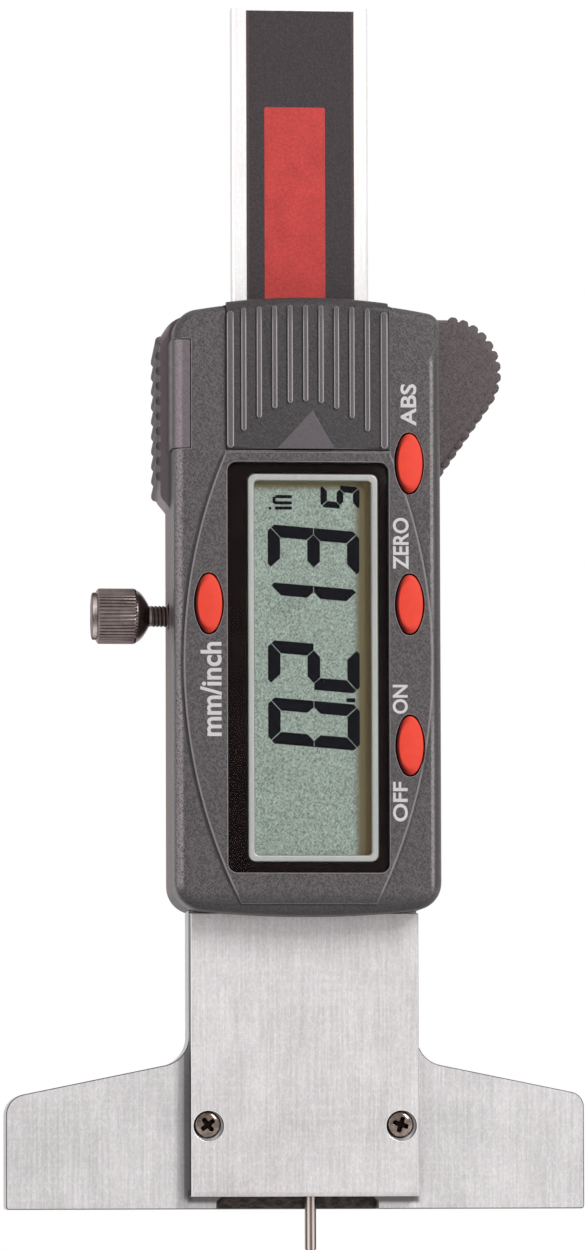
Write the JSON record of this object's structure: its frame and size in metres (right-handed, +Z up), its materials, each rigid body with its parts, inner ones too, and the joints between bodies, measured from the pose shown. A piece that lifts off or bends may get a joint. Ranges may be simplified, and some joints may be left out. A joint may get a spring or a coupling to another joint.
{
  "type": "digital depth gauge",
  "caption": "Digital depth gauge with a T-shaped steel base, display housing, sliding beam, thin probe rod and knurled lock screw.",
  "frame": {"origin": "on the measuring face, at the middle of the stem's width and of the beam's thickness", "axes": "+Z up the beam, away from the measuring face; -Y towards the display; +X to the right when the display is read from the front"},
  "size_m": [0.0763, 0.017, 0.1642],
  "materials": {
    "frame_steel": "upright brushed grain, satin",
    "plate_steel": "upright brushed grain, satin",
    "screw_steel": "plated, slightly worn",
    "beam_steel": "fine ground, bright",
    "scale_black": "fine leather-like grain",
    "rod_steel": "hardened and polished",
    "pin_steel": "ground",
    "gib_brass": "rolled",
    "lock_metal": "dark plated, straight knurl",
    "housing_grey": "fine leather-like moulded grain",
    "rear_grey": "fine leather-like moulded grain",
    "cover_grey": "fine moulded grain",
    "port_grey": "fine moulded grain",
    "lens_clear": "clear and glossy",
    "mask_black": "black, glossy",
    "ring_silver": "bright satin",
    "lcd_glass": "liquid crystal glass, pale grey-green",
    "zebra_rubber": "layered",
    "board_green": "solder mask",
    "chip_black": "cured epoxy",
    "crystal_can": "drawn can",
    "dome_steel": "stamped",
    "battery_steel": "stamped can",
    "contact_spring": "stamped spring sheet",
    "pad_gold": "plated",
    "key_red": "soft satin"
  },
  "bodies": {
    "frame": {"base_frame": "frame_steel", "cover_plate": "plate_steel", "plate_screws": "screw_steel", "stop_pin": "pin_steel", "front_housing": "housing_grey", "rear_housing": "rear_grey", "housing_screws": "screw_steel", "display_lens": "lens_clear", "lens_mask": "mask_black", "lcd_frame": "ring_silver", "lcd_panel": "lcd_glass", "zebra_strip": "zebra_rubber", "circuit_board": "board_green", "chip_cover": "chip_black", "clock_crystal": "crystal_can", "key_domes": "dome_steel", "battery": "battery_steel", "battery_contact_plus": "contact_spring", "battery_contact_minus": "contact_spring", "data_contacts": "pad_gold"},
    "beam": {"beam": "beam_steel", "beam_scale": "scale_black", "probe_rod": "rod_steel"},
    "gib": {"gib_strip": "gib_brass"},
    "lock_screw": {"lock_screw": "lock_metal"},
    "battery_cover": {"battery_cover": "cover_grey"},
    "port_cover": {"port_cover": "port_grey"},
    "key_abs": {"key_abs": "key_red"},
    "key_zero": {"key_zero": "key_red"},
    "key_on_off": {"key_on_off": "key_red"},
    "key_mm_inch": {"key_mm_inch": "key_red"}
  },
  "joints": [
    {"name": "beam_slide", "type": "slide", "parent": "frame", "child": "beam", "axis": [0, 0, -1], "range_m": [-0.00542, 0.01998]},
    {"name": "gib_slide", "type": "slide", "parent": "frame", "child": "gib", "axis": [1, 0, 0], "range_m": [-0.00025, 0.00005]},
    {"name": "lock_turn", "type": "hinge", "parent": "gib", "child": "lock_screw", "pos_m": [-0.02, 0, 0.0781], "axis": [1, 0, 0], "range_deg": [-180, 36]},
    {"name": "key_abs_press", "type": "slide", "parent": "frame", "child": "key_abs", "axis": [0, 1, 0], "range_m": [0, 0.0005], "stiffness_N_per_m": 400},
    {"name": "key_zero_press", "type": "slide", "parent": "frame", "child": "key_zero", "axis": [0, 1, 0], "range_m": [0, 0.0005], "stiffness_N_per_m": 400},
    {"name": "key_on_off_press", "type": "slide", "parent": "frame", "child": "key_on_off", "axis": [0, 1, 0], "range_m": [0, 0.0005], "stiffness_N_per_m": 400},
    {"name": "key_mm_inch_press", "type": "slide", "parent": "frame", "child": "key_mm_inch", "axis": [0, 1, 0], "range_m": [0, 0.0005], "stiffness_N_per_m": 400},
    {"name": "battery_cover_slide", "type": "slide", "parent": "frame", "child": "battery_cover", "axis": [0, 0, 1], "range_m": [0, 0.0205]},
    {"name": "port_cover_pull", "type": "slide", "parent": "frame", "child": "port_cover", "axis": [-1, 0, 0], "range_m": [0, 0.006]}
  ],
  "couplings": [
    {"joint": "lock_turn", "follows": "gib_slide", "rad_per_m": 12566}
  ]
}
